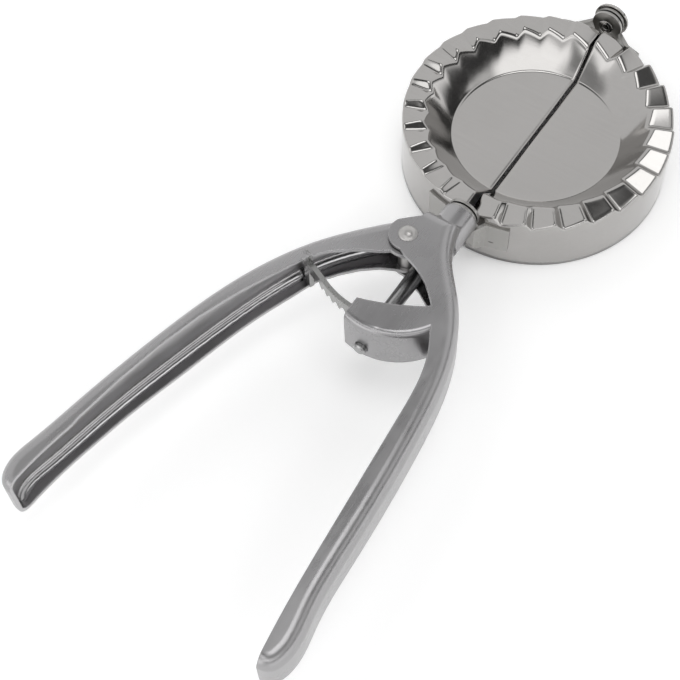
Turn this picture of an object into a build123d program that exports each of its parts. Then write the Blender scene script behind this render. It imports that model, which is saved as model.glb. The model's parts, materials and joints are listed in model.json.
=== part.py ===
from build123d import *
import os
from math import acos, asin, atan2, cos, degrees, hypot, pi, radians, sin, sqrt, tan

# Empanada press: two fluted half moulds share one hinge line, and squeezing a pair of plier
# handles folds one half over onto the other through a curved rack and a pinion.
#
# Millimetres.  The hinge line is the X axis, the origin is the middle of the round mould on it,
# +X points from the handles to the mould, +Y to the half that folds and +Z up, out of the dish.

# ---------------------------------------------------------------- driving dimensions

# half moulds: one drawn sheet each, with a dish, a fluted rim and a cutting skirt
RIM_RADIUS = 45.0           # outside of the fluted rim and of the skirt
MOUTH_RADIUS = 36.8         # inner edge of the flutes
MOULD_SHEET = 0.6
HALF_GAP = 0.6              # slot between the two halves along the hinge line
DOUGH_GAP = 1.2             # room for the dough between the closed rims
DISH_DEPTH = 9.2            # floor below the middle of the flutes
DISH_SLOPE = 46.0           # degrees, the steep part of the dish wall
DISH_BEND = 9.0             # radius from the wall into the floor
SKIRT_DEPTH = 21.5          # cutting edge below the hinge line
TEETH_PER_HALF = 14
FLUTE_HEIGHT = 2.8          # valley to crest at the mouth
LEFT_RIM_HEIGHT = 1.2       # valley to crest at the rim of the half that folds
LEFT_RIM_DROP = 0.35        # its middle below the hinge line
RIGHT_RIM_HEIGHT = 2.9
RIGHT_RIM_DROP = 0.75
RISER_ANGLE = 2.6           # degrees taken by the steep side of a flute
FLUTE_SHEET = 0.75          # the sheet measured straight down through a flute

# ears that carry the halves on the hinge line
EAR_SHEET = 1.0
EAR_RADIUS = 5.4
EAR_STRAP_LOW = 14.5        # lower edge of the welded strap below the hinge line
NEAR_STRAP_HIGH = 3.4       # upper edge of the strap below the hinge line, handle end
FAR_STRAP_HIGH = 1.6        # and far end
EAR_STRAP_ANGLE = 19.0      # degrees round the skirt to the end of the strap
NEAR_BEND_OFFSET = 6.6      # where the strap leaves the skirt for the ear
FAR_BEND_OFFSET = 9.0
NEAR_EAR = 1.3              # skirt to the inner ear at the handle end
FAR_EAR = 2.6               # and at the far end, where the rivet tail needs room
EAR_PITCH = 1.8             # inner ear to outer ear
SPACER_RADIUS = 4.9
WELD_GAP = 0.02

# shaft along the hinge line
SHAFT_RADIUS = 2.6
STUD_RADIUS = 2.1
STUD_LENGTH = 1.6           # beyond the front wall of the casing
BUSH_LENGTH = 8.8
SHAFT_WASHER_RADIUS = 3.3
SHAFT_END_GAP = 0.5         # shaft end to the skirt
RUNNING = 0.05              # radial clearance of a running fit
SIDE_GAP = 0.3              # between faces of different moving pieces

# pinion and rack
MODULE = 0.9
PINION_TEETH = 10
PRESSURE_ANGLE = 28.0
ADDENDUM = 0.8
DEDENDUM = 1.05
BACKLASH = 0.34             # across a tooth space, on the pitch line
PINION_WIDTH = 5.8
HUB_RADIUS = 3.6
HUB_WIDTH = 3.0
PINION_PIN_RADIUS = 0.75
RACK_RADIUS = 29.5          # about the lever rivet
RACK_SHEET = 1.6
RACK_TOP = 8.6
RACK_LEAD = 7.0             # degrees of rack beyond the pinion at rest
RACK_TOOTHED = 49.0         # degrees of teeth from the pinion towards the lever
RACK_STRAIGHT = 36.0        # degrees from the pinion to where the strip runs on straight
ANCHOR_ANGLE = 56.0         # degrees from the pinion to the cross bar in the lever's lips
ANCHOR_WIDTH = 2.8
ANCHOR_TOP = 11.3
ANCHOR_BOTTOM = -5.0
NOTCH_REACH = 9.0           # open length of the notch in the lever's lips

# stamped handles
HANDLE_SHEET = 1.2
RIVET_REACH = 21.38         # end of the neck to the lever rivet
PIVOT_Y = 6.2
RIVET_RADIUS = 2.25
RIVET_HEAD = 3.1
RIVET_DOME = 1.5
SLEEVE_WALL = 0.75
YOKE_TOP = 12.0             # above the hinge line
YOKE_BOTTOM = -5.6
NECK_RADIUS = 6.0
NECK_LENGTH = 12.0
NECK_RUN = 13.38            # end of the neck to the full depth of the yoke
LOBE_RADIUS = 6.1           # yoke plate round the rivet
LOW_LOBE_RADIUS = 4.3       # lower plates round the rivet
LEVER_LOBE = 7.4            # lever plate round the rivet
BACK_ROUND = 4.2            # outside radius along the back of a handle
GRIP_TOP = 13.4             # lever channel at the grip
GRIP_BOTTOM = -6.2
FLARE_START = 11.5          # rivet to where the lever channel begins to widen
FLARE_END = 43.5
GRIP_REACH = 139.5          # rivet to beyond the nose of the grips
SPLIT_LEVEL = 3.0           # height where the upper and lower plates are told apart

# casing over the pinion, one tongue of the fixed handle bent down at its front
CASING_REACH = 35.64        # rivet to the outer face of the front wall
CASING_BOTTOM = -4.0
CASING_BEND = 2.0

# far pivot
FAR_RIVET_RADIUS = 1.9
FAR_BORE = 1.1
FAR_TAIL_RADIUS = 2.7
FAR_HEAD_RADIUS = 4.6
FAR_WASHER_RADIUS = 6.2
FAR_WASHER_SHEET = 0.8

# return spring, wire wound round the rivet sleeve
SPRING_WIRE = 1.2
SPRING_TURNS = 2.186
SPRING_LOW = 3.9            # centre of the lowest turn
SPRING_PITCH = 1.3
SPRING_START = -30.0        # degrees, where the lower leg leaves the coil
SPRING_LOW_LEG = 16.8
SPRING_HIGH_LEG = 3.6

# ---------------------------------------------------------------- values that follow

TOOTH_ANGLE = 180.0 / TEETH_PER_HALF
RIM_MIDDLE = -DOUGH_GAP / 2
PITCH_RADIUS = MODULE * PINION_TEETH / 2
NEAR_INNER = RIM_RADIUS + NEAR_EAR
NEAR_OUTER = NEAR_INNER + EAR_PITCH
FAR_INNER = RIM_RADIUS + FAR_EAR
FAR_OUTER = FAR_INNER + EAR_PITCH
NECK_END = -(NEAR_OUTER + EAR_SHEET + WELD_GAP)
PIVOT_X = NECK_END - RIVET_REACH
PIVOT = (PIVOT_X, PIVOT_Y)
LEVER_TOP = YOKE_TOP - HANDLE_SHEET - SIDE_GAP
LEVER_BOTTOM = YOKE_BOTTOM + HANDLE_SHEET + SIDE_GAP
CONTACT_X = PIVOT_X - sqrt(RACK_RADIUS ** 2 - PIVOT_Y ** 2)
CONTACT_ANGLE = 180 + degrees(asin(PIVOT_Y / RACK_RADIUS))
RATIO = (PIVOT_X - CONTACT_X) / PITCH_RADIUS

CASING_WALL = PIVOT_X - CASING_REACH
SHOULDER = CASING_WALL + HANDLE_SHEET + SIDE_GAP
PINION_END = SHOULDER + 1.3
HUB_END = PINION_END + PINION_WIDTH + HUB_WIDTH
PIN_X = HUB_END - HUB_WIDTH / 2

# plan outlines measured from the lever rivet, mould end to grip end and back
FIXED_BACK = [(16.5, -10.2), (8.5, -11.8), (0.5, -15.7), (-9.5, -23.8), (-26.5, -33.3),
              (-54.5, -39.2), (-94.5, -42.5), (-114.5, -44.3), (-128.8, -45.6), (-133.2, -43.8),
              (-135.0, -39.6)]
FIXED_LIP = [(-135.0, -39.6), (-119.5, -37.4), (-86.5, -34.3), (-55.5, -31.7), (-36.5, -28.9),
             (-26.5, -24.4)]
YOKE_EDGE = [(-26.5, -24.4), (-18.0, -19.6), (-12.7, -14.2), (-8.8, -7.7), (-6.8, -2.2)]
YOKE_LOW_EDGE = [(-28.5, -24.8), (-25.5, -26.0), (-17.5, -21.8), (-11.3, -15.5), (-7.1, -8.6),
                 (-4.5, -2.2)]
LEVER_BACK = [(-5.5, 16.2), (-16.0, 24.0), (-28.0, 30.1), (-47.8, 37.1), (-69.2, 42.7),
              (-99.1, 48.9), (-116.5, 51.9), (-127.0, 52.8), (-131.1, 51.0), (-132.9, 46.4)]
LEVER_LIP = [(-132.9, 46.4), (-116.5, 45.3), (-101.3, 42.8), (-86.2, 39.8), (-71.5, 36.2),
             (-55.5, 32.4), (-40.5, 27.8), (-27.5, 22.5), (-19.7, 18.6), (-15.7, 14.4),
             (-12.2, 9.7), (-9.2, 4.3)]
LEVER_TOP_LIP = [(-111.5, 44.0), (-104.4, 43.9), (-89.0, 41.8), (-73.9, 38.8), (-59.5, 35.0),
                 (-46.3, 30.4), (-24.8, 21.8)]
LEVER_LOW_LIP = [(-27.5, 22.2), (-19.8, 18.3), (-15.8, 15.4), (-11.0, 10.8), (-7.1, 5.8),
                 (-4.3, 0.0)]
CASING_FRONT = [(-26.7, -23.2), (-35.3, -9.2), (-34.9, 0.3)]
CASING_ROOT = [(-16.5, -21.7), (-24.0, -26.7)]
CASING_NEAR = [(-27.8, 0.3), (-25.5, -6.2), (-19.5, -18.2)]


# ---------------------------------------------------------------- helpers

def write(node, shape):
    export_step(shape, f"parts/{node}.step")


def bar(outline, low, high):
    """Solid of a flat outline in plan, between two heights."""
    return extrude(Plane.XY.offset(low) * outline, amount=high - low)


def along_x(radius, x1, x2, y=0.0, z=0.0):
    """Round bar along X."""
    return Pos((x1 + x2) / 2, y, z) * Rot(0, 90, 0) * Cylinder(radius, abs(x2 - x1))


def upright(radius, z1, z2, x, y):
    """Round bar along Z."""
    return Pos(x, y, (z1 + z2) / 2) * Cylinder(radius, z2 - z1)


def from_rivet(points):
    """Plan points given from the rivet, placed on the part."""
    return [(PIVOT_X + x, PIVOT_Y + y) for x, y in points]


def plan_point(radius, angle):
    return (radius * cos(radians(angle)), radius * sin(radians(angle)))


# ---------------------------------------------------------------- half moulds

def flute_column(rim_height, rim_drop, shift, low):
    """Half round column whose top is the ring of flutes, lowered by shift."""
    column = None
    for tooth in range(TEETH_PER_HALF):
        start = tooth * TOOTH_ANGLE
        first = start if tooth == 0 else start - RISER_ANGLE / 2
        last = start + TOOTH_ANGLE
        if tooth < TEETH_PER_HALF - 1:
            last -= RISER_ANGLE / 2
        middle = (first + last) / 2
        sections = []
        for radius in (MOUTH_RADIUS - 8, RIM_RADIUS + 1):
            share = (radius - MOUTH_RADIUS) / (RIM_RADIUS - MOUTH_RADIUS)
            height = FLUTE_HEIGHT + (rim_height - FLUTE_HEIGHT) * share
            level = RIM_MIDDLE - (rim_drop + RIM_MIDDLE) * share - shift
            run_out = height / (TOOTH_ANGLE - RISER_ANGLE) * RISER_ANGLE / 2
            valley = level - height / 2
            crest = level + height / 2
            if tooth == 0:
                points = [(first, valley - run_out)]
            else:
                points = [(first, crest), (start + RISER_ANGLE / 2, valley)]
            points.append((last, crest + run_out if tooth == TEETH_PER_HALF - 1 else crest))
            flat = [(radius * tan(radians(a - middle)), z) for a, z in points]
            flat = [(flat[0][0], low)] + flat + [(flat[-1][0], low)]
            facing = Plane(origin=(radius, 0, 0), x_dir=(0, 1, 0), z_dir=(1, 0, 0))
            sections.append(facing * make_face(Polyline(*flat, close=True)))
        cell = Rot(0, 0, middle) * loft(sections, ruled=True)
        column = cell if column is None else column + cell
    return column


def dish_form(offset, top):
    """Turned form of the dish, grown outwards and downwards by offset."""
    slope = radians(DISH_SLOPE)
    floor = RIM_MIDDLE - DISH_DEPTH - offset
    bend = DISH_BEND + offset
    wall = MOUTH_RADIUS + offset / sin(slope)
    foot = wall - (RIM_MIDDLE - floor) / tan(slope)
    tangent = bend * tan(slope / 2)
    start = (foot + tangent * cos(slope), floor + tangent * sin(slope))
    end = (foot - tangent, floor)
    middle = (foot - tangent + bend * sin(slope / 2), floor + bend * (1 - cos(slope / 2)))
    lip = (wall + (top - RIM_MIDDLE) / tan(slope), top)
    profile = Polyline((0, floor), (0, top), lip, start) + ThreePointArc(start, middle, end)
    profile += Line(end, (0, floor))
    return revolve(Plane.XZ * make_face(profile), Axis.Z)


def half_mould(rim_height, rim_drop):
    """One drawn half on the +Y side: dish, flutes and skirt in one sheet, open below."""
    top = FLUTE_HEIGHT
    low = -SKIRT_DEPTH
    depth = 4 * SKIRT_DEPTH
    beside = Pos(0, RIM_RADIUS) * Rectangle(4 * RIM_RADIUS, 2 * RIM_RADIUS)
    core = Cylinder(MOUTH_RADIUS - 4, depth)
    outside = flute_column(rim_height, rim_drop, 0, low) & Cylinder(RIM_RADIUS, depth)
    outside += core & bar(beside, low, RIM_MIDDLE)
    inside = flute_column(rim_height, rim_drop, FLUTE_SHEET, low - 1)
    inside = inside & Cylinder(RIM_RADIUS - MOULD_SHEET, depth)
    inside += core & bar(beside, low - 1, RIM_MIDDLE - FLUTE_SHEET)
    shell = outside - dish_form(0, top) - (inside - dish_form(MOULD_SHEET, top))
    half = Pos(0, RIM_RADIUS + HALF_GAP / 2, 0) * Box(4 * RIM_RADIUS, 2 * RIM_RADIUS, depth)
    return shell & half


def ear(slab, bore, bend_offset, strap_high):
    """Bracket on the -X, -Y side: a strap welded round the skirt, bent out to a round ear."""
    inner = RIM_RADIUS + WELD_GAP
    outer = inner + EAR_SHEET
    face = slab + EAR_SHEET
    bend = 180 + degrees(asin(bend_offset / inner))
    tip = 180 + EAR_STRAP_ANGLE
    arc_in = ThreePointArc(plan_point(inner, tip), plan_point(inner, (tip + bend) / 2),
                           plan_point(inner, bend))
    arc_out = ThreePointArc(plan_point(outer, bend + 1.2), plan_point(outer, (tip + bend) / 2),
                            plan_point(outer, tip))
    knee = (-slab, -EAR_RADIUS + 0.6)
    outline = arc_in + Line(arc_in @ 1, knee) + Line(knee, (-slab, EAR_RADIUS))
    outline += Line((-slab, EAR_RADIUS), (-face, EAR_RADIUS))
    outline += Line((-face, EAR_RADIUS), (-face, -EAR_RADIUS)) + Line((-face, -EAR_RADIUS), arc_out @ 0)
    outline += arc_out + Line(arc_out @ 1, arc_in @ 0)
    strip = bar(make_face(outline), -EAR_STRAP_LOW, EAR_RADIUS)
    touch = EAR_RADIUS * sin(radians(45))
    tab = Polyline((-30, -strap_high), (-30, -EAR_STRAP_LOW), (-bend_offset, -EAR_STRAP_LOW),
                   (touch, -touch), (0, 0), (-strap_high, -strap_high), close=True)
    tab = extrude(Plane(origin=(-face - 1, 0, 0), x_dir=(0, 1, 0), z_dir=(1, 0, 0)) * make_face(tab), 30)
    disc = along_x(EAR_RADIUS, -face - 1, -slab)
    return (strip & (disc + tab)) - along_x(bore, -face - 1, -slab + 1)


# ---------------------------------------------------------------- stamped handles

def on_circle(centre, radius, angle):
    return (centre[0] + radius * cos(radians(angle)), centre[1] + radius * sin(radians(angle)))


def parallel(line, distance, steps=24):
    """Points along a line, set off to its right; a negative distance goes to its left."""
    points = []
    for step in range(steps + 1):
        spot = line @ (step / steps)
        way = line % (step / steps)
        points.append((spot.X + distance * way.Y, spot.Y - distance * way.X))
    return points


def side_form(upper, lower, reach=90):
    """Solid between two lines seen from the side, running from the neck to the grip end."""
    outline = upper + Line(upper @ 1, lower @ 1) + lower + Line(lower @ 0, upper @ 0)
    return extrude(Plane.XZ * make_face(outline), amount=reach, both=True)


def rounded_back(form, back, radius):
    """Round the long edges where the back wall turns into the plates."""
    chosen = []
    for edge in form.edges():
        middle = edge @ 0.5
        level = abs((edge % 0.5).Z) < 0.5
        if level and back.distance_to(Vector(middle.X, middle.Y, 0)) < 0.05:
            chosen.append(edge)
    return fillet(chosen, radius)


def yoke_outline(back):
    """Plan of the fixed handle without the casing: neck, yoke plate, grip and nose."""
    neck_side = (back @ 0).X, -(back @ 0).Y
    shoulder = (NECK_END - NECK_RUN, NECK_RADIUS + 0.2)
    lobe_start = on_circle(PIVOT, LOBE_RADIUS, 188)
    lobe_end = on_circle(PIVOT, LOBE_RADIUS, 60)
    lobe = ThreePointArc(lobe_start, on_circle(PIVOT, LOBE_RADIUS, 124), lobe_end)
    outline = back + Spline(*from_rivet(FIXED_LIP))
    outline += Spline(*from_rivet(YOKE_EDGE), lobe_start) + lobe + Line(lobe_end, shoulder)
    outline += Line(shoulder, neck_side) + Line(neck_side, back @ 0)
    return make_face(outline)


def yoke_cavity(back):
    """Plan of the space inside the fixed handle, open along the lip and beside the rivet."""
    inside = parallel(back, HANDLE_SHEET)
    turn = (inside[-1][0] + 4, inside[-1][1] + 3)
    far = (turn[0], 30)
    step = (NECK_END - NECK_RUN, NECK_RADIUS - HANDLE_SHEET)
    neck_side = ((back @ 0).X, -(back @ 0).Y - HANDLE_SHEET)
    outline = Spline(*inside) + Line(inside[-1], turn) + Line(turn, far)
    outline += Line(far, (step[0], far[1])) + Line((step[0], far[1]), step) + Line(step, neck_side)
    outline += Line(neck_side, inside[0])
    return make_face(outline)


def set_back(edge, corners):
    """Trims the lower plate of a handle back to its own edge, round its own smaller lobe."""
    outline = Polyline(*from_rivet(edge), *from_rivet(corners), close=True)
    trim = bar(make_face(outline), 2 * GRIP_BOTTOM, SPLIT_LEVEL)
    return trim - upright(LOW_LOBE_RADIUS, 2 * GRIP_BOTTOM, SPLIT_LEVEL, PIVOT_X, PIVOT_Y)


def rounded_drum(centre, radius, low, high, bend):
    """Upright drum with a rounded top edge."""
    start = (radius, high - bend)
    end = (radius - bend, high)
    middle = (radius - bend * (1 - cos(radians(45))), high - bend * (1 - sin(radians(45))))
    profile = Polyline((0, high), (0, low), (radius, low), start) + ThreePointArc(start, middle, end)
    profile += Line(end, (0, high))
    return Pos(centre[0], centre[1], 0) * revolve(Plane.XZ * make_face(profile), Axis.Z)


def casing():
    """Tongue of the top plate over the pinion, bent down in front; holds the shaft's stud."""
    front = ThreePointArc(*from_rivet(CASING_FRONT))
    near = ThreePointArc(*from_rivet(CASING_NEAR))
    centre = (front.arc_center.X, front.arc_center.Y)
    beyond = CASING_WALL - 9
    root = from_rivet(CASING_ROOT)
    outline = Polyline(front @ 0, (beyond, (front @ 0).Y), (beyond, (front @ 1).Y), near @ 0) + near
    outline += Polyline(near @ 1, *root, front @ 0)
    form = bar(make_face(outline), CASING_BOTTOM, YOKE_TOP)
    form = form & rounded_drum(centre, front.radius, CASING_BOTTOM - 1, YOKE_TOP, CASING_BEND)
    hollow = rounded_drum(centre, front.radius - HANDLE_SHEET, CASING_BOTTOM - 2,
                          YOKE_TOP - HANDLE_SHEET, CASING_BEND - HANDLE_SHEET)
    return form - hollow


def fixed_handle():
    """One stamping: neck round the shaft, two-plate yoke, open channel grip and the casing."""
    back = Spline(*from_rivet(FIXED_BACK))
    start = NECK_END - 3.88
    full = NECK_END - NECK_RUN
    upper = Spline((start, 3.8), ((start + full) / 2, 8), (full, YOKE_TOP), tangents=[(-1, 0.3), (-1, 0)])
    upper += Line((full, YOKE_TOP), (PIVOT_X - GRIP_REACH, YOKE_TOP))
    full = NECK_END - 0.75 * NECK_RUN
    lower = Spline((start, -3.6), (full, YOKE_BOTTOM), tangents=[(-1, -0.2), (-1, 0)])
    lower += Line((full, YOKE_BOTTOM), (PIVOT_X - GRIP_REACH, YOKE_BOTTOM))
    envelope = bar(yoke_outline(back), YOKE_BOTTOM, YOKE_TOP)
    envelope = rounded_back(envelope, back, BACK_ROUND) & side_form(upper, lower)
    outside = envelope + along_x(NECK_RADIUS, NECK_END, NECK_END - NECK_LENGTH)
    hollow = bar(yoke_cavity(back), YOKE_BOTTOM + HANDLE_SHEET, YOKE_TOP - HANDLE_SHEET)
    hollow_back = Spline(*parallel(back, HANDLE_SHEET))
    hollow = rounded_back(hollow, hollow_back, BACK_ROUND - HANDLE_SHEET)
    inner_upper = upper.moved(Location((0, -HANDLE_SHEET, 0)))
    inner_lower = lower.moved(Location((0, HANDLE_SHEET, 0)))
    hollow = hollow & side_form(inner_upper, inner_lower)
    hollow += along_x(NECK_RADIUS - HANDLE_SHEET, NECK_END + 1, NECK_END - NECK_LENGTH)
    outside -= set_back(YOKE_LOW_EDGE, [(-4.2, 0), (4.2, 0), (8, -0.4), (8, 8), (-50, 8)])
    handle = outside - hollow + casing()
    handle -= along_x(STUD_RADIUS + 2 * RUNNING, CASING_WALL - 2, CASING_WALL + 2)
    return handle - upright(RIVET_RADIUS + WELD_GAP, YOKE_BOTTOM - 1, YOKE_TOP + 1, PIVOT_X, PIVOT_Y)


def flare(pivot_level, grip_level):
    """Edge of the lever seen from the side, level at the rivet and level again at the grip."""
    end = PIVOT_X - GRIP_REACH
    between = (PIVOT_X - (FLARE_START + FLARE_END) / 2, (pivot_level + grip_level) / 2)
    return Spline((PIVOT_X + 20, pivot_level), (PIVOT_X + 4, pivot_level),
                  (PIVOT_X - FLARE_START, pivot_level), between, (PIVOT_X - FLARE_END, grip_level),
                  (PIVOT_X - 2 * FLARE_END, grip_level), (end, grip_level),
                  tangents=[(-1, 0), (-1, 0)])


def lever_handle():
    """Open channel that flares into the grip and ends in two round plates at the rivet."""
    points = from_rivet(LEVER_BACK)
    reach = hypot(*LEVER_BACK[0])
    turn = degrees(atan2(LEVER_BACK[0][1], LEVER_BACK[0][0])) - degrees(acos(LEVER_LOBE / reach))
    touch = on_circle(PIVOT, LEVER_LOBE + 0.5, turn)
    foot = on_circle(PIVOT, LEVER_LOBE, turn - 5)
    leave = on_circle(PIVOT, LEVER_LOBE, 168)
    back = Spline(touch, *points)
    outline = back + Spline(*from_rivet(LEVER_LIP), leave)
    outline += ThreePointArc(leave, on_circle(PIVOT, LEVER_LOBE, 290), foot) + Line(foot, touch)
    upper = flare(LEVER_TOP, GRIP_TOP)
    lower = flare(LEVER_BOTTOM, GRIP_BOTTOM)
    envelope = bar(make_face(outline), GRIP_BOTTOM - 1, GRIP_TOP + 1) & side_form(upper, lower)
    envelope = rounded_back(envelope, back, BACK_ROUND)
    inside = parallel(back, -HANDLE_SHEET)
    entry = (2 * inside[0][0] - inside[1][0], 2 * inside[0][1] - inside[1][1])
    exit_point = (inside[-1][0] + 4, inside[-1][1] - 3)
    low_corner = (exit_point[0], -20)
    cavity = Line(entry, inside[0]) + Spline(*inside)
    cavity += Line(inside[-1], exit_point) + Line(exit_point, low_corner)
    cavity += Line(low_corner, (entry[0], low_corner[1]))
    cavity += Line((entry[0], low_corner[1]), entry)
    hollow = bar(make_face(cavity), GRIP_BOTTOM - 1, GRIP_TOP + 1)
    hollow = hollow & side_form(upper.moved(Location((0, -HANDLE_SHEET, 0))),
                                lower.moved(Location((0, HANDLE_SHEET, 0))))
    hollow = rounded_back(hollow, Spline(*inside), BACK_ROUND - HANDLE_SHEET)
    handle = envelope - hollow - set_back(LEVER_LOW_LIP, [(12, 0), (12, -12), (-30, -12)])
    top_lip = Polyline(*from_rivet(LEVER_TOP_LIP), *from_rivet([(-24, 2), (-110, 20)]), close=True)
    handle -= bar(make_face(top_lip), SPLIT_LEVEL, 2 * GRIP_TOP)
    handle -= upright(RIVET_RADIUS + RUNNING, LEVER_BOTTOM - 1, LEVER_TOP + 1, PIVOT_X, PIVOT_Y)
    return handle - anchor(RUNNING, NOTCH_REACH)


# ---------------------------------------------------------------- rack and pinion

def sector(inner, outer, start, end, low, high):
    """Part of a ring round the lever rivet, between two plan angles."""
    middle = (start + end) / 2
    outside = ThreePointArc(on_circle(PIVOT, outer, start), on_circle(PIVOT, outer, middle),
                            on_circle(PIVOT, outer, end))
    inside = ThreePointArc(on_circle(PIVOT, inner, end), on_circle(PIVOT, inner, middle),
                           on_circle(PIVOT, inner, start))
    outline = outside + Line(outside @ 1, inside @ 0) + inside + Line(inside @ 1, outside @ 0)
    return bar(make_face(outline), low, high)


def tail(near, far, low, high, width):
    """Piece of the straight end of the strip, between two distances from the end of the arc."""
    spot = Pos(RACK_RADIUS, -(near + far) / 2, (low + high) / 2) * Box(width, far - near, high - low)
    return Pos(PIVOT_X, PIVOT_Y, 0) * Rot(0, 0, CONTACT_ANGLE - RACK_STRAIGHT) * spot


def anchor(clear, run):
    """Cross bar of the rack that hooks into notches in the two lips of the lever."""
    centre = RACK_RADIUS * tan(radians(ANCHOR_ANGLE - RACK_STRAIGHT))
    end = centre + ANCHOR_WIDTH / 2 + clear
    return tail(end - run, end, ANCHOR_BOTTOM - clear, ANCHOR_TOP + clear, RACK_SHEET + 2 * clear)


def rack():
    """Strip rolled to an arc round the rivet, toothed along its lower edge, straight at the lever."""
    inner = RACK_RADIUS - RACK_SHEET / 2
    outer = RACK_RADIUS + RACK_SHEET / 2
    low = PITCH_RADIUS - ADDENDUM
    strip = sector(inner, outer, CONTACT_ANGLE + RACK_LEAD, CONTACT_ANGLE - RACK_STRAIGHT, low, RACK_TOP)
    strip += tail(0, RACK_RADIUS * tan(radians(ANCHOR_ANGLE - RACK_STRAIGHT)), low, RACK_TOP, RACK_SHEET)
    pitch = pi * MODULE
    slope = tan(radians(PRESSURE_ANGLE))
    half = pitch / 4 + BACKLASH / 4
    shallow = low - 0.4
    deep = PITCH_RADIUS + DEDENDUM
    mouth = half + (PITCH_RADIUS - shallow) * slope
    root = half - (deep - PITCH_RADIUS) * slope
    space = Polyline((-mouth, shallow), (mouth, shallow), (root, deep), (-root, deep), close=True)
    across = Plane(origin=(CONTACT_X - 3, 0, 0), x_dir=(0, 1, 0), z_dir=(1, 0, 0))
    cutter = extrude(across * make_face(space), 6)
    step = 360 / (PINION_TEETH * RATIO)
    about = Pos(PIVOT_X, PIVOT_Y, 0)
    back = Pos(-PIVOT_X, -PIVOT_Y, 0)
    first = -int(RACK_LEAD / step) - 1
    for index in range(first, int(RACK_TOOTHED / step)):
        strip -= about * Rot(0, 0, -(index + 0.5) * step) * back * cutter
    return strip + anchor(0, ANCHOR_WIDTH)


def involute(angle):
    return tan(angle) - angle


def pinion():
    """Involute pinion with a plain hub for the cross pin."""
    base = PITCH_RADIUS * cos(radians(PRESSURE_ANGLE))
    tip = PITCH_RADIUS + ADDENDUM
    root = PITCH_RADIUS - DEDENDUM
    half = (pi * MODULE / 2 - BACKLASH / 2) / (2 * PITCH_RADIUS) + involute(radians(PRESSURE_ANGLE))
    flank = [(root, half)]
    for part in range(5):
        radius = base + (tip - base) * part / 4
        flank.append((radius, half - involute(acos(base / radius))))
    points = []
    for tooth in range(PINION_TEETH):
        centre = (tooth + 0.5) * 2 * pi / PINION_TEETH
        points += [(r * sin(centre - a), r * cos(centre - a)) for r, a in flank]
        points += [(r * sin(centre + a), r * cos(centre + a)) for r, a in reversed(flank)]
    across = Plane(origin=(PINION_END, 0, 0), x_dir=(0, 1, 0), z_dir=(1, 0, 0))
    gear = extrude(across * make_face(Polyline(*points, close=True)), PINION_WIDTH)
    gear += along_x(HUB_RADIUS, PINION_END + 1, HUB_END)
    gear -= along_x(SHAFT_RADIUS + WELD_GAP, PINION_END - 1, HUB_END + 1)
    return gear - upright(PINION_PIN_RADIUS + 0.01, -9, 9, PIN_X, 0)


def drive_shaft():
    """Rod on the hinge line; the thinner stud turns in the front wall of the casing."""
    end = CASING_WALL - STUD_LENGTH
    shaft = along_x(SHAFT_RADIUS, -RIM_RADIUS - SHAFT_END_GAP, SHOULDER)
    stud = along_x(STUD_RADIUS, SHOULDER + 1, end)
    shaft += chamfer(stud.edges().sort_by(Axis.X)[0], 0.5)
    return shaft - upright(PINION_PIN_RADIUS + 0.01, -9, 9, PIN_X, 0)


# ---------------------------------------------------------------- small parts

def ring(outer, inner, x1, x2):
    """Washer or bush on the hinge line."""
    return along_x(outer, x1, x2) - along_x(inner, min(x1, x2) - 1, max(x1, x2) + 1)


def domed_head(radius, height):
    """Low round rivet head standing on the XY plane."""
    bulge = (radius ** 2 + height ** 2) / (2 * height)
    head = Pos(0, 0, height - bulge) * Sphere(bulge)
    return head & Pos(0, 0, height / 2) * Cylinder(radius + 1, height)


def lever_rivet():
    shank = upright(RIVET_RADIUS, YOKE_BOTTOM - 0.5, YOKE_TOP + 0.5, PIVOT_X, PIVOT_Y)
    top = Pos(PIVOT_X, PIVOT_Y, YOKE_TOP + WELD_GAP) * domed_head(RIVET_HEAD, RIVET_DOME)
    foot = Pos(PIVOT_X, PIVOT_Y, YOKE_BOTTOM - WELD_GAP) * Rot(180, 0, 0) * domed_head(RIVET_HEAD, 1.1)
    return shank + top + foot


def rivet_sleeve():
    low = LEVER_BOTTOM + HANDLE_SHEET + 3 * RUNNING
    high = LEVER_TOP - HANDLE_SHEET - 3 * RUNNING
    bore = RIVET_RADIUS + RUNNING
    outside = upright(bore + SLEEVE_WALL, low, high, PIVOT_X, PIVOT_Y)
    return outside - upright(bore, low - 1, high + 1, PIVOT_X, PIVOT_Y)


def return_spring():
    """Wire wound round the rivet sleeve, its legs resting on the backs of the two handles."""
    radius = RIVET_RADIUS + RUNNING + SLEEVE_WALL + SIDE_GAP + SPRING_WIRE / 2
    height = SPRING_TURNS * SPRING_PITCH
    coil = Pos(PIVOT_X, PIVOT_Y, SPRING_LOW) * Rot(0, 0, SPRING_START) * Helix(
        SPRING_PITCH, height, radius)
    low_leg = Line((coil @ 0) - (coil % 0) * SPRING_LOW_LEG, coil @ 0)
    high_leg = Line(coil @ 1, (coil @ 1) + (coil % 1) * SPRING_HIGH_LEG)
    path = low_leg + coil + high_leg
    section = Plane(origin=path @ 0, z_dir=path % 0) * Circle(SPRING_WIRE / 2)
    return sweep(section, path=path, transition=Transition.ROUND)


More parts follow.
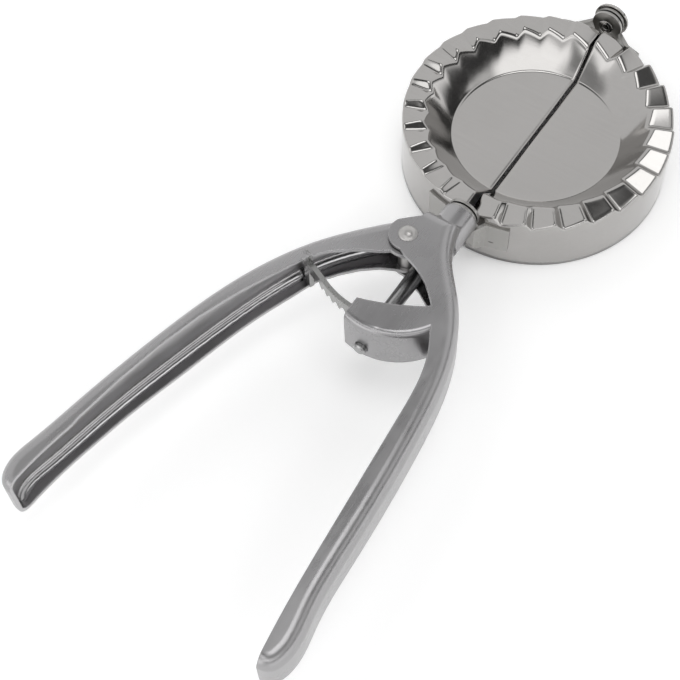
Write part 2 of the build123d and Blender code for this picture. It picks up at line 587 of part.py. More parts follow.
def far_rivet():
    """Rivet of the far pivot: hollow tail spread on the mould side, low head outside."""
    seat = FAR_OUTER + EAR_SHEET + SIDE_GAP + FAR_WASHER_SHEET + WELD_GAP
    tail = Pos(FAR_INNER - WELD_GAP - 0.5, 0, 0) * Rot(0, -90, 0) * Cone(
        FAR_RIVET_RADIUS, FAR_TAIL_RADIUS, 1.0)
    head = Pos(seat, 0, 0) * Rot(0, 90, 0) * domed_head(FAR_HEAD_RADIUS, 1.4)
    rivet = along_x(FAR_RIVET_RADIUS, FAR_INNER - 0.6, seat + 0.4) + tail + head
    return rivet - along_x(FAR_BORE, FAR_INNER - 3, FAR_INNER + 1.5)


def far_washer():
    near = FAR_OUTER + EAR_SHEET + SIDE_GAP
    return ring(FAR_WASHER_RADIUS, FAR_RIVET_RADIUS + RUNNING, near, near + FAR_WASHER_SHEET)


def main():
    os.makedirs("parts", exist_ok=True)
    write("left_mould", half_mould(LEFT_RIM_HEIGHT, LEFT_RIM_DROP))
    write("right_mould", Rot(0, 0, 180) * half_mould(RIGHT_RIM_HEIGHT, RIGHT_RIM_DROP))
    near_welded = ear(NEAR_INNER, SHAFT_RADIUS + WELD_GAP, NEAR_BEND_OFFSET, NEAR_STRAP_HIGH)
    far_welded = ear(FAR_INNER, FAR_RIVET_RADIUS + WELD_GAP, FAR_BEND_OFFSET, FAR_STRAP_HIGH)
    write("left_near_bracket", mirror(near_welded, Plane.XZ))
    write("right_near_bracket", ear(NEAR_OUTER, SHAFT_RADIUS + 2 * RUNNING, NEAR_BEND_OFFSET, NEAR_STRAP_HIGH))
    write("near_spacer", ring(SPACER_RADIUS, SHAFT_RADIUS + RUNNING, -NEAR_OUTER + WELD_GAP,
                              -NEAR_INNER - EAR_SHEET - SIDE_GAP))
    write("left_far_bracket", Rot(0, 0, 180) * ear(FAR_OUTER, FAR_RIVET_RADIUS + RUNNING,
                                                   FAR_BEND_OFFSET, FAR_STRAP_HIGH))
    write("right_far_bracket", mirror(far_welded, Plane.YZ))
    write("far_spacer", ring(SPACER_RADIUS, FAR_RIVET_RADIUS + RUNNING, FAR_INNER + EAR_SHEET + WELD_GAP,
                             FAR_OUTER - SIDE_GAP))
    write("fixed_handle", fixed_handle())
    write("neck_bush", ring(NECK_RADIUS - HANDLE_SHEET - WELD_GAP, SHAFT_RADIUS + RUNNING,
                            NECK_END - 0.2, NECK_END - BUSH_LENGTH))
    write("lever_handle", lever_handle())
    write("lever_rivet", lever_rivet())
    write("rivet_sleeve", rivet_sleeve())
    write("return_spring", return_spring())
    write("rack", rack())
    write("pinion", pinion())
    write("pinion_pin", upright(PINION_PIN_RADIUS, -HUB_RADIUS - 0.3, HUB_RADIUS + 0.3, PIN_X, 0))
    write("drive_shaft", drive_shaft())
    write("shaft_washer", ring(SHAFT_WASHER_RADIUS, SHAFT_RADIUS + RUNNING, SHOULDER + 0.2, SHOULDER + 1.0))
    write("far_rivet", far_rivet())
    write("far_washer", far_washer())


if __name__ == "__main__":
    main()
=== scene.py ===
# %% [markdown]
# # A hand press for filled pastries
# The press is bare stainless steel from end to end: two fluted half moulds on one hinge line, and a
# pair of plier handles whose curved rack turns one half over onto the other.  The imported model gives
# every piece its place and size, so this lesson only adds what the eye needs: rolled bends in the
# drawn sheet, satin and mirror finishes, and the studio that they reflect.

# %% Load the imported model
import json
import math

import bpy
import numpy as np
from mathutils import Matrix, Vector


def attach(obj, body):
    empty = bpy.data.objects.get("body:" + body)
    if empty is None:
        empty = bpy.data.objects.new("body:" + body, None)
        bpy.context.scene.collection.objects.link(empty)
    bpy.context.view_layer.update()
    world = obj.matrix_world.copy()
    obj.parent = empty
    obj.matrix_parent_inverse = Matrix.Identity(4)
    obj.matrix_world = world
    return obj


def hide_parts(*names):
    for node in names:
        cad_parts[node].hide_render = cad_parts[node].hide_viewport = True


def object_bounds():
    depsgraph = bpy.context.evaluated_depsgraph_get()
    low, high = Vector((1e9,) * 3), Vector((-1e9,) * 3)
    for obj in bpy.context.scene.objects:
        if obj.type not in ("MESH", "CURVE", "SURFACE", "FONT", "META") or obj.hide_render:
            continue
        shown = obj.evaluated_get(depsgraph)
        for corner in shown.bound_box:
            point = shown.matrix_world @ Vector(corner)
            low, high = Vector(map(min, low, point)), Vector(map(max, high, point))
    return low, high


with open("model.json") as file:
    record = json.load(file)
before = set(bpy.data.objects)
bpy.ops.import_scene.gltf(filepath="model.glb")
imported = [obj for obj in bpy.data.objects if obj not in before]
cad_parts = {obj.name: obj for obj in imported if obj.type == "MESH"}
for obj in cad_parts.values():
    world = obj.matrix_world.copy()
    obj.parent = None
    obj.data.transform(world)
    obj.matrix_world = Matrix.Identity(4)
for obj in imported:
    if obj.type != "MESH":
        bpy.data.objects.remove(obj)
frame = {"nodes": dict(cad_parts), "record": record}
cad_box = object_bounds()
nodes = frame["nodes"]
MM = 0.001

# %% [markdown]
# ## Camera
# The camera comes first, because every later choice is judged through it.  It looks down on the press
# from the handle end at about 59 degrees, a little rolled, from 42 cm away.  Three unit vectors give its
# turn: right, up and back.

# %% Camera
IMAGE_SIZE = 680
FOCAL_PIXELS = 1402.7
SENSOR_WIDTH = 36.0
EYE = (-0.28049, -0.12301, 0.36474)
EYE_RIGHT = (0.55922, -0.82850, -0.02945)
EYE_UP = (0.72175, 0.46907, 0.50897)


def aim(place, right, up):
    """Camera matrix: right and up are made square, back is their cross product."""
    right = Vector(right).normalized()
    back = right.cross(Vector(up)).normalized()
    up = back.cross(right)
    turn = Matrix((right, up, back)).transposed().to_4x4()
    turn.translation = Vector(place)
    return turn


camera_data = bpy.data.cameras.new("view")
camera_data.sensor_width = SENSOR_WIDTH
camera_data.lens = FOCAL_PIXELS * SENSOR_WIDTH / IMAGE_SIZE
camera_data.clip_start = 0.01
camera_data.clip_end = 20.0
camera = bpy.data.objects.new("view", camera_data)
bpy.context.scene.collection.objects.link(camera)
camera.matrix_world = aim(EYE, EYE_RIGHT, EYE_UP)
bpy.context.scene.camera = camera
print("lens %.1f mm" % camera_data.lens)

# %% [markdown]
# ## Floor
# Polished steel has hardly any colour of its own: it shows the room.  So the room is made with care, and
# it starts with a matt white floor.  A floor lit by lamps alone comes out light grey, so this one also
# glows a little for the eye and for mirrors.  The glow would shine up through the slot between the half
# moulds, which has to stay black, so it fades where something close above covers the floor.  Three small
# helpers come first, so that a tree of nodes reads like a formula.

# %% Floor
FLOOR_GAP = 0.0002
FLOOR_MIDDLE = (-0.07, 0.0)
FLOOR_SIDE = 6.0
FLOOR_WHITE = 0.95
FLOOR_GLOW = 0.25
COVER_REACH = 0.05
COVER_SAMPLES = 8
COVERED, OPEN = 0.25, 0.45


def feed(tree, item, socket):
    """Gives a socket its input: a link where the item is a socket, and a plain value where it isn't."""
    if isinstance(item, bpy.types.NodeSocket):
        tree.links.new(item, socket)
    else:
        socket.default_value = item


def math_node(tree, operation, a, b=None, clamp=False):
    """Math node on one or two inputs, each a number or a socket."""
    node = tree.nodes.new("ShaderNodeMath")
    node.operation = operation
    node.use_clamp = clamp
    feed(tree, a, node.inputs[0])
    if b is not None:
        feed(tree, b, node.inputs[1])
    return node.outputs[0]


def ramp(tree, value, low, high, out_low=0.0, out_high=1.0, smooth=False):
    """Map Range node: low to high becomes out_low to out_high, held beyond both, eased where smooth."""
    node = tree.nodes.new("ShaderNodeMapRange")
    if smooth:
        node.interpolation_type = "SMOOTHSTEP"
    tree.links.new(value, node.inputs["Value"])
    node.inputs["From Min"].default_value = low
    node.inputs["From Max"].default_value = high
    node.inputs["To Min"].default_value = out_low
    node.inputs["To Max"].default_value = out_high
    return node.outputs["Result"]


def floor_material():
    """Matt white whose glow is FLOOR_GLOW, times 1 in the open and 0 under cover, for eye and mirrors."""
    material = bpy.data.materials.new("floor_white")
    material.use_nodes = True
    tree = material.node_tree
    shader = tree.nodes["Principled BSDF"]
    shader.inputs["Base Color"].default_value = (FLOOR_WHITE, FLOOR_WHITE, FLOOR_WHITE, 1)
    shader.inputs["Roughness"].default_value = 0.9
    shader.inputs["Specular IOR Level"].default_value = 0.0
    shader.inputs["Emission Color"].default_value = (1, 1, 1, 1)
    path = tree.nodes.new("ShaderNodeLightPath")
    seen = math_node(tree, "MAXIMUM", path.outputs["Is Camera Ray"], path.outputs["Is Glossy Ray"])
    cover = tree.nodes.new("ShaderNodeAmbientOcclusion")
    cover.samples = COVER_SAMPLES
    cover.inputs["Distance"].default_value = COVER_REACH
    uncovered = ramp(tree, cover.outputs["AO"], COVERED, OPEN)
    glow = math_node(tree, "MULTIPLY", math_node(tree, "MULTIPLY", seen, uncovered), FLOOR_GLOW)
    tree.links.new(glow, shader.inputs["Emission Strength"])
    return material


def floor_card(material):
    """Level square: corners at half a side from the middle, just under the lowest edge of the press."""
    corners = np.array([(-1, -1), (1, -1), (1, 1), (-1, 1)]) * FLOOR_SIDE / 2 + FLOOR_MIDDLE
    points = np.column_stack([corners, np.full(4, cad_box[0][2] - FLOOR_GAP)])
    mesh = bpy.data.meshes.new("floor")
    mesh.from_pydata(points.tolist(), [], [(0, 1, 2, 3)])
    mesh.materials.append(material)
    card = bpy.data.objects.new("floor", mesh)
    bpy.context.scene.collection.objects.link(card)
    return card


floor = floor_card(floor_material())
print("floor level %.2f mm" % (floor.data.vertices[0].co.z / MM))

# %% [markdown]
# ## World
# The rest of the room is a world painted by direction.  Most of it is one pale grey, which gives the
# steel its tone.  A dark ring round the lamp and dark bands lower down draw the lines that make a bend
# look round, and bright areas beside them draw the white facets.  Cards and lamps would do the same,
# but they cast shadows and light of their own.  Here each area is a product of soft steps.

# %% World
PALE = 0.92
RING_MIDDLE = (0.05, -0.08)
TO_HANDLES = (-0.766, -0.643)
TILT = 0.30


def mask(tree, steps):
    """Product of soft steps (value, where the step is 0, where it is 1)."""
    product = 1.0
    for value, nothing, full in steps:
        product = math_node(tree, "MULTIPLY", ramp(tree, value, nothing, full, smooth=True), product)
    return product


def moved(tree, light, target, share):
    """Light moved to the target by the share: light + (target - light) share."""
    gap = math_node(tree, "SUBTRACT", target, light)
    return math_node(tree, "ADD", light, math_node(tree, "MULTIPLY", gap, share))


def directions(tree):
    """Parts x, y, z of a ray's unit vector, and the three measures that the areas are drawn with.

    Reach is the distance of x, y from the ring's middle.  Side is how far x, y points to the handles.
    Tilt is the height z, raised by a share of x on the far side.
    """
    split = tree.nodes.new("ShaderNodeSeparateXYZ")
    tree.links.new(tree.nodes.new("ShaderNodeTexCoord").outputs["Generated"], split.inputs["Vector"])
    x, y, z = split.outputs
    across = math_node(tree, "SUBTRACT", x, RING_MIDDLE[0])
    along = math_node(tree, "SUBTRACT", y, RING_MIDDLE[1])
    reach = math_node(tree, "SQRT", math_node(tree, "ADD", math_node(tree, "MULTIPLY", across, across),
                                              math_node(tree, "MULTIPLY", along, along)))
    side = math_node(tree, "ADD", math_node(tree, "MULTIPLY", x, TO_HANDLES[0]),
                     math_node(tree, "MULTIPLY", y, TO_HANDLES[1]))
    tilt = math_node(tree, "ADD", z, math_node(tree, "MULTIPLY", math_node(tree, "MAXIMUM", x, 0.0), TILT))
    return x, y, z, reach, side, tilt


def studio_world():
    """World of one pale grey in which each area, in turn, moves the light to its own brightness."""
    world = bpy.data.worlds.new("studio")
    world.use_nodes = True
    tree = world.node_tree
    x, y, z, reach, side, tilt = directions(tree)
    areas = {
        "ring": (0.09, [(reach, 0.28, 0.38), (reach, 0.58, 0.50), (z, 0.0, 0.1)]),
        "arc": (1.9, [(side, 0.50, 0.60), (z, 0.56, 0.62), (z, 0.80, 0.74)]),
        "upper": (1.8, [(x, -0.40, -0.46), (z, 0.72, 0.78), (y, -0.10, 0.0), (y, 0.50, 0.42)]),
        "band": (0.05, [(y, -0.20, -0.36), (tilt, 0.37, 0.43), (tilt, 0.58, 0.54)]),
        "under": (1.4, [(y, -0.40, -0.60), (tilt, 0.40, 0.34), (z, 0.0, 0.05)]),
        "far_band": (0.35, [(x, -0.42, -0.54), (y, 0.0, 0.10), (z, 0.52, 0.56), (z, 0.72, 0.66)]),
        "far_under": (1.7, [(x, -0.60, -0.72), (y, -0.10, 0.02), (z, 0.54, 0.50), (z, 0.0, 0.1)]),
    }
    light = PALE
    for brightness, steps in areas.values():
        light = moved(tree, light, brightness, mask(tree, steps))
    tree.links.new(light, tree.nodes["Background"].inputs["Color"])
    print("world areas:", ", ".join(areas))
    return world


bpy.context.scene.world = studio_world()
bpy.context.scene.view_settings.view_transform = "Standard"

# %% [markdown]
# ## Lamp
# One large soft lamp hangs over the mould.  It gives the press a faint shadow on the floor, and its
# reflection lies in the middle of the world's dark ring.

# %% Lamp
LAMP_PLACE = (0.06, -0.096, 1.2)
LAMP_ACROSS = 0.62
LAMP_WATTS = 1.35

lamp_data = bpy.data.lights.new("overhead", "AREA")
lamp_data.shape = "DISK"
lamp_data.size = LAMP_ACROSS
lamp_data.energy = LAMP_WATTS
overhead = bpy.data.objects.new("overhead", lamp_data)
overhead.location = LAMP_PLACE
overhead.rotation_euler = Vector(LAMP_PLACE).to_track_quat("Z", "Y").to_euler()
bpy.context.scene.collection.objects.link(overhead)
print("lamp: %.2f m across, %.2f W" % (LAMP_ACROSS, LAMP_WATTS))

# %% [markdown]
# ## Effects shared by the steels: grain
# Every finish here is a steel that differs only in how it was worked, so the effects are built once as
# node groups, and each material sets their named inputs.  The first is the grain.  Brushing leaves fine
# lines along one way, a cloth leaves soft clouds, and use leaves small scuffs.  Noise on coordinates
# that are squeezed along one axis turns each lump into a line.

# %% Grain
LINE_SCALE = 900.0
CLOUD_SCALE = 45.0
SCUFF_SCALE = 420.0


def new_group(name, inputs, outputs):
    """Shader node group with named float or vector sockets, and its two end nodes."""
    group = bpy.data.node_groups.new(name, "ShaderNodeTree")
    for label, kind, value in inputs:
        socket = group.interface.new_socket(label, in_out="INPUT", socket_type=kind)
        if value is not None:
            socket.default_value = value
    for label, kind in outputs:
        group.interface.new_socket(label, in_out="OUTPUT", socket_type=kind)
    start = group.nodes.new("NodeGroupInput")
    end = group.nodes.new("NodeGroupOutput")
    return group, start, end


def noise(tree, vector, scale, detail, roughness=0.6):
    """Noise texture on a vector socket, scale in lumps per metre."""
    node = tree.nodes.new("ShaderNodeTexNoise")
    tree.links.new(vector, node.inputs["Vector"])
    node.inputs["Scale"].default_value = scale
    node.inputs["Detail"].default_value = detail
    node.inputs["Roughness"].default_value = roughness
    return node.outputs["Fac"]


def grain_group():
    """Lines: noise on stretched coordinates.  Clouds: wide soft noise.  Scuffs: the peaks of fine noise."""
    group, start, end = new_group(
        "steel_grain",
        [("Vector", "NodeSocketVector", None), ("Stretch", "NodeSocketVector", (1, 1, 1)),
         ("Turn", "NodeSocketVector", (0, 0, 0))],
        [("Lines", "NodeSocketFloat"), ("Clouds", "NodeSocketFloat"), ("Scuffs", "NodeSocketFloat")])
    mapping = group.nodes.new("ShaderNodeMapping")
    group.links.new(start.outputs["Vector"], mapping.inputs["Vector"])
    group.links.new(start.outputs["Turn"], mapping.inputs["Rotation"])
    group.links.new(start.outputs["Stretch"], mapping.inputs["Scale"])
    specks = noise(group, start.outputs["Vector"], SCUFF_SCALE, 5.0, 0.7)
    group.links.new(noise(group, mapping.outputs["Vector"], LINE_SCALE, 3.0), end.inputs["Lines"])
    group.links.new(noise(group, start.outputs["Vector"], CLOUD_SCALE, 3.0), end.inputs["Clouds"])
    group.links.new(ramp(group, specks, 0.62, 0.78), end.inputs["Scuffs"])
    return group


GRAIN = grain_group()
print("effect:", GRAIN.name, [item.name for item in GRAIN.interface.items_tree])

# %% [markdown]
# ## Effects shared by the steels: worn edges with a painted highlight, and painted shade in gaps
# Handling polishes an edge, and its colour is painted lighter too, partly for that wear and partly as a
# painted highlight.  A gap is painted darker, which is painted shade.  The Bevel node gives the normal that
# the surface would have with rounded edges, so where it parts from the true one, there is an edge.  Noise
# breaks the bright line up.  The rounded normal goes out too, since it makes a stamped edge look rolled
# without any more faces.  Ambient Occlusion over a very short reach finds the gaps.

# %% Edges and gaps
BEND = 0.00028
WEAR_PATCHES = 160.0
GAP_REACH = 0.0018


def wear_sheen_shade_group():
    """Edge: 1 - rounded normal . true normal, in patches, for wear and a painted highlight.  Gaps: 1 in the
    open, 0 in a gap, for painted shade.
    """
    group, start, end = new_group(
        "edge_wear_sheen_and_gap_shade",
        [("Vector", "NodeSocketVector", None), ("Radius", "NodeSocketFloat", BEND)],
        [("Edge", "NodeSocketFloat"), ("GapShade", "NodeSocketFloat"), ("Normal", "NodeSocketVector")])
    rounded = group.nodes.new("ShaderNodeBevel")
    rounded.samples = 4
    group.links.new(start.outputs["Radius"], rounded.inputs["Radius"])
    truth = group.nodes.new("ShaderNodeNewGeometry")
    dot = group.nodes.new("ShaderNodeVectorMath")
    dot.operation = "DOT_PRODUCT"
    group.links.new(rounded.outputs["Normal"], dot.inputs[0])
    group.links.new(truth.outputs["Normal"], dot.inputs[1])
    parting = math_node(group, "SUBTRACT", 1.0, dot.outputs["Value"], True)
    patches = noise(group, start.outputs["Vector"], WEAR_PATCHES, 3.0)
    # The edge mask sets real polish, and also a painted highlight in the colour.
    edge = math_node(group, "MULTIPLY", ramp(group, parting, 0.03, 0.35), ramp(group, patches, 0.3, 0.6))
    # Painted shade: the gaps that ambient occlusion finds are painted dark in the colour.
    closed = group.nodes.new("ShaderNodeAmbientOcclusion")
    closed.samples = 4
    closed.inputs["Distance"].default_value = GAP_REACH
    group.links.new(edge, end.inputs["Edge"])
    group.links.new(ramp(group, closed.outputs["AO"], 0.1, 0.6), end.inputs["GapShade"])
    group.links.new(rounded.outputs["Normal"], end.inputs["Normal"])
    return group


WEAR_SHEEN_SHADE = wear_sheen_shade_group()
print("effect:", WEAR_SHEEN_SHADE.name, [item.name for item in WEAR_SHEEN_SHADE.interface.items_tree])

# %% [markdown]
# ## Effects shared by the steels: inside a channel, and the weld marks
# The lever is an open channel.  Its outside is brushed, but the press tool left its inside smooth, so the
# inner faces need a mask of their own.  Their place and the way they look give them away, and nothing
# has to be painted by hand.  The inner side of the web also gets a lighter colour, a painted reflection.
# A spot weld leaves a small dark oval on a strap.  The straps lie the same way in all four quarters of
# the mould, so the mask takes the absolute value of the place first.

# %% Channel and welds
def channel_group():
    """Mask: inner faces of the two flanges.  Web: inner side of the web between them, facing lower y.

    A flange's face is inside where it looks down from above the Split level, or up from below it.  Both
    masks hold only where y is above Side.
    """
    group, start, end = new_group(
        "inside_channel",
        [("Vector", "NodeSocketVector", None), ("Normal", "NodeSocketVector", None),
         ("Split", "NodeSocketFloat", 0.003), ("Side", "NodeSocketFloat", 0.012)],
        [("Mask", "NodeSocketFloat"), ("Web", "NodeSocketFloat")])
    place = group.nodes.new("ShaderNodeSeparateXYZ")
    group.links.new(start.outputs["Vector"], place.inputs["Vector"])
    normal = group.nodes.new("ShaderNodeSeparateXYZ")
    group.links.new(start.outputs["Normal"], normal.inputs["Vector"])
    above = math_node(group, "GREATER_THAN", place.outputs["Z"], start.outputs["Split"])
    below = math_node(group, "SUBTRACT", 1.0, above)
    down = math_node(group, "MULTIPLY", above, ramp(group, normal.outputs["Z"], -0.1, -0.4))
    up = math_node(group, "MULTIPLY", below, ramp(group, normal.outputs["Z"], 0.1, 0.4))
    inner = math_node(group, "MAXIMUM", down, up)
    beyond = math_node(group, "GREATER_THAN", place.outputs["Y"], start.outputs["Side"])
    web = math_node(group, "MULTIPLY", ramp(group, normal.outputs["Y"], -0.5, -0.8), beyond)
    group.links.new(math_node(group, "MULTIPLY", inner, beyond), end.inputs["Mask"])
    group.links.new(web, end.inputs["Web"])
    return group


def weld_group():
    """Mask of an oval: 1 where the length of (|vector| - Place) / Size is under 0.7, and 0 over 1.1."""
    group, start, end = new_group(
        "weld_mark",
        [("Vector", "NodeSocketVector", None), ("Place", "NodeSocketVector", (0.0452, 0.0096, 0.0115)),
         ("Size", "NodeSocketVector", (0.0040, 0.0010, 0.0004))],
        [("Mask", "NodeSocketFloat")])
    value = start.outputs["Vector"]
    for operation, other in (("ABSOLUTE", None), ("SUBTRACT", "Place"), ("DIVIDE", "Size"), ("LENGTH", None)):
        node = group.nodes.new("ShaderNodeVectorMath")
        node.operation = operation
        group.links.new(value, node.inputs[0])
        if other is not None:
            group.links.new(start.outputs[other], node.inputs[1])
        value = node.outputs["Value" if operation == "LENGTH" else "Vector"]
    group.links.new(ramp(group, value, 1.1, 0.7), end.inputs["Mask"])
    return group


CHANNEL = channel_group()
WELD = weld_group()
print("effects:", CHANNEL.name, WELD.name)

# %% [markdown]
# ## The steels
# One maker writes every finish.  The base colour is the grey of stainless, the lines set how rough the
# metal is and tilt its surface a little, and the clouds are where a cloth has wiped it.  Worn edges are
# smoother than the faces and painted brighter, partly for wear and partly as a painted highlight, and gaps
# are painted darker, which is painted shade.  The handles add the smooth inside of their channel, with a
# painted reflection that lightens the inside of its web, and the straps their weld marks.

# %% Steel maker
# Edge colour is the light colour times this: real wear, with a painted highlight on top.
EDGE_LIGHT = 1.35
EDGE_POLISH = 0.08
# Gap colour is the dark colour times this: painted shade.
GAP_SHADE = 0.3
WELD_SHADE = 0.25
WELD_STRENGTH = 0.8
CHANNEL_POLISH = 0.75
# Painted reflection: the inner side of the web is coloured the light colour times this.
WEB_PAINTED_LIGHT = 1.2
WEB_ROUGH = 0.06
SMOOTHEST = 0.05
LINE_HEIGHT = 0.00002


def effect(tree, group, **inputs):
    """Places a shared effect in a material, each named input a value or a socket; returns its outputs."""
    node = tree.nodes.new("ShaderNodeGroup")
    node.node_tree = group
    for label, item in inputs.items():
        feed(tree, item, node.inputs[label])
    return node.outputs


def mixed(tree, first, second, share):
    """Colour from the first to the second by the share; each is three numbers or a socket."""
    node = tree.nodes.new("ShaderNodeMix")
    node.data_type = "RGBA"
    for label, colour in (("A", first), ("B", second)):
        feed(tree, (*colour, 1) if isinstance(colour, tuple) else colour, node.inputs[label])
    tree.links.new(share, node.inputs["Factor"])
    return node.outputs["Result"]


def scaled(colour, factor):
    """Colour times a factor, no part over 1."""
    return tuple(min(1.0, part * factor) for part in colour)


def steel_colour(tree, dark, light, streak, grain, wear_sheen_shade):
    """Dark to light by clouds and lines, then brighter at the edges for wear and a painted highlight, then
    darker in the gaps as painted shade.
    """
    shade = math_node(tree, "ADD", ramp(tree, grain["Clouds"], 0.3, 0.7, 0.0, 0.75),
                      ramp(tree, grain["Lines"], 0.3, 0.7, -streak, 2 * streak), True)
    face = mixed(tree, dark, light, shade)
    # Edges painted lighter: partly real wear, partly a painted highlight.
    worn_and_sheen = mixed(tree, face, scaled(light, EDGE_LIGHT), wear_sheen_shade["Edge"])
    # Gaps painted darker by ambient occlusion: painted shade.
    return mixed(tree, scaled(dark, GAP_SHADE), worn_and_sheen, wear_sheen_shade["GapShade"])


def steel_roughness(tree, rough, scuff, grain, wear_sheen_shade):
    """Rough within 8 percent by the lines, plus clouds and scuffs, less the polish of the edges."""
    lines = ramp(tree, grain["Lines"], 0.25, 0.75, rough * 0.92, rough * 1.08)
    value = math_node(tree, "ADD", lines, ramp(tree, grain["Clouds"], 0.3, 0.7, -0.04, 0.05))
    value = math_node(tree, "ADD", value, math_node(tree, "MULTIPLY", grain["Scuffs"], scuff))
    return math_node(tree, "SUBTRACT", value, math_node(tree, "MULTIPLY", wear_sheen_shade["Edge"], EDGE_POLISH))


def steel(name, dark, light, rough, stretch, turn=(0, 0, 0), line_depth=0.5, scuff=0.15, streak=0.12,
          bend=BEND, channel=False, weld=False):
    """Material: bare metal with the colour and roughness above, and the lines as bump on rounded edges."""
    material = bpy.data.materials.new(name)
    material.use_nodes = True
    tree = material.node_tree
    shader = tree.nodes["Principled BSDF"]
    shader.inputs["Metallic"].default_value = 1.0
    place = tree.nodes.new("ShaderNodeTexCoord").outputs
    grain = effect(tree, GRAIN, Vector=place["Object"], Stretch=stretch, Turn=turn)
    wear_sheen_shade = effect(tree, WEAR_SHEEN_SHADE, Vector=place["Object"], Radius=bend)
    colour = steel_colour(tree, dark, light, streak, grain, wear_sheen_shade)
    roughness = steel_roughness(tree, rough, scuff, grain, wear_sheen_shade)
    if weld:
        spot = effect(tree, WELD, Vector=place["Object"])
        burnt = math_node(tree, "MULTIPLY", spot["Mask"], WELD_STRENGTH)
        colour = mixed(tree, colour, scaled(dark, WELD_SHADE), burnt)
    if channel:
        inside = effect(tree, CHANNEL, Vector=place["Object"], Normal=place["Normal"])
        # Painted reflection: the inner side of the web is painted lighter.
        colour = mixed(tree, colour, scaled(light, WEB_PAINTED_LIGHT), inside["Web"])
        kept = math_node(tree, "SUBTRACT", 1.0, math_node(tree, "MULTIPLY", inside["Mask"], CHANNEL_POLISH))
        roughness = math_node(tree, "MULTIPLY", roughness, kept)
        roughness = math_node(tree, "ADD", roughness, math_node(tree, "MULTIPLY", inside["Web"], WEB_ROUGH))
    tree.links.new(colour, shader.inputs["Base Color"])
    tree.links.new(math_node(tree, "MAXIMUM", roughness, SMOOTHEST), shader.inputs["Roughness"])
    bump = tree.nodes.new("ShaderNodeBump")
    bump.inputs["Strength"].default_value = line_depth
    bump.inputs["Distance"].default_value = LINE_HEIGHT
    tree.links.new(grain["Lines"], bump.inputs["Height"])
    tree.links.new(wear_sheen_shade["Normal"], bump.inputs["Normal"])
    tree.links.new(bump.outputs["Normal"], shader.inputs["Normal"])
    return material


print("edges %.2f times as light as the face, grain %.2f mm high" % (EDGE_LIGHT, LINE_HEIGHT / MM))

# %% [markdown]
# ## The finishes
# The drawn moulds are close to a mirror, the stamped handles are satin, and the small fittings are
# duller.  Each slot of the model gets its steel.  The far rivet and its washer are turned parts and
# shine more than the other rivets, so they have a finish of their own.

# %% The finishes
FAR_FITTINGS = ("far_rivet", "far_washer")
STEELS = {
    "mould_steel": steel("mould_steel", (0.415, 0.405, 0.395), (0.45, 0.44, 0.43), 0.11, (1, 0.04, 1),
                         turn=(0, 0, 0.6), line_depth=0.15, scuff=0.08),
    "handle_steel": steel("handle_steel", (0.35, 0.345, 0.35), (0.41, 0.405, 0.41), 0.27, (0.05, 1, 1),
                          turn=(0, 0, -0.3), line_depth=0.02, streak=0.03, bend=0.0006, channel=True),
    "bracket_steel": steel("bracket_steel", (0.36, 0.355, 0.34), (0.43, 0.42, 0.41), 0.30, (1, 1, 0.06),
                           line_depth=0.05, streak=0.05, weld=True),
    "rivet_steel": steel("rivet_steel", (0.45, 0.44, 0.43), (0.52, 0.51, 0.50), 0.34, (1, 1, 1),
                         line_depth=0.1),
    "shaft_steel": steel("shaft_steel", (0.36, 0.36, 0.36), (0.42, 0.42, 0.42), 0.24, (0.05, 1, 1)),
    "gear_steel": steel("gear_steel", (0.33, 0.33, 0.325), (0.40, 0.40, 0.39), 0.28, (1, 1, 0.08)),
    "spring_steel": steel("spring_steel", (0.34, 0.34, 0.34), (0.42, 0.42, 0.42), 0.20, (1, 1, 1)),
    "bush_brass": steel("bush_brass", (0.50, 0.37, 0.18), (0.62, 0.47, 0.25), 0.30, (0.1, 1, 1)),
}
far_polish = steel("far_polish", (0.42, 0.41, 0.40), (0.50, 0.49, 0.48), 0.12, (1, 1, 1), line_depth=0.05)
for part in frame["record"]["subparts"]:
    mesh = nodes[part["node"]].data
    mesh.materials.clear()
    mesh.materials.append(far_polish if part["node"] in FAR_FITTINGS else STEELS[part["material_slot"]])
print("finishes:", len(STEELS) + 1)

# %% [markdown]
# ## The half moulds
# Each half is one sheet drawn over a punch, so none of its corners is sharp: the mouth rolls into the
# ring of flutes, the flutes roll over the rim into the skirt, and the steep side of every flute eases
# into the next ramp.  A modeller could bevel the solid, but the corner sizes would change along the
# saw-tooth.  Here the top of the sheet is one function of two parameters: a profile from the middle of
# the dish to the skirt's lower edge, taken at every angle round the half.  Solidify then gives the wall.
# Lengths are in millimetres and angles in degrees.

# %% Sizes of the half moulds
RIM = 45.0
MOUTH = 36.8
SHEET = 0.6
SLOT = 1.0
SLOT_ROLL = 0.45
SLOT_ROLL_WIDTH = 0.8
SLOT_ROLL_FADE = 10.0
MIDDLE_LEVEL = -0.6
FLOOR_DROP = 9.2
WALL_SLOPE = math.radians(46.0)
FLOOR_BEND = 1.4
WALL_SAG = 0.22
SKIRT_EDGE = -21.5
TEETH = 14
TOOTH = 180.0 / TEETH
RISER = 3.4
RISER_EASE = 0.45
MOUTH_HEIGHT = 2.05
MOUTH_ROLL = 1.1
RIM_ROLL = 1.1
print("a tooth takes %.2f degrees, its steep side %.1f" % (TOOTH, RISER))

# %% [markdown]
# ## The saw-tooth
# The flutes are a saw-tooth round the half.  Angles lie close together where it is steep and wide apart
# where it is straight, so that the faces go where the shape turns.  A moving average taken twice rounds
# each corner.  The steep sides of the folding half widen towards the mouth, which a warp of the angles
# does without a second saw-tooth.

# %% Saw-tooth round the half
CORNER = 1.1
END_ANGLES = np.array([0.0, 0.2, 0.4, 0.65, 0.95, 1.3, 2.0, 3.0, 4.5])
END_REACH = 5.0


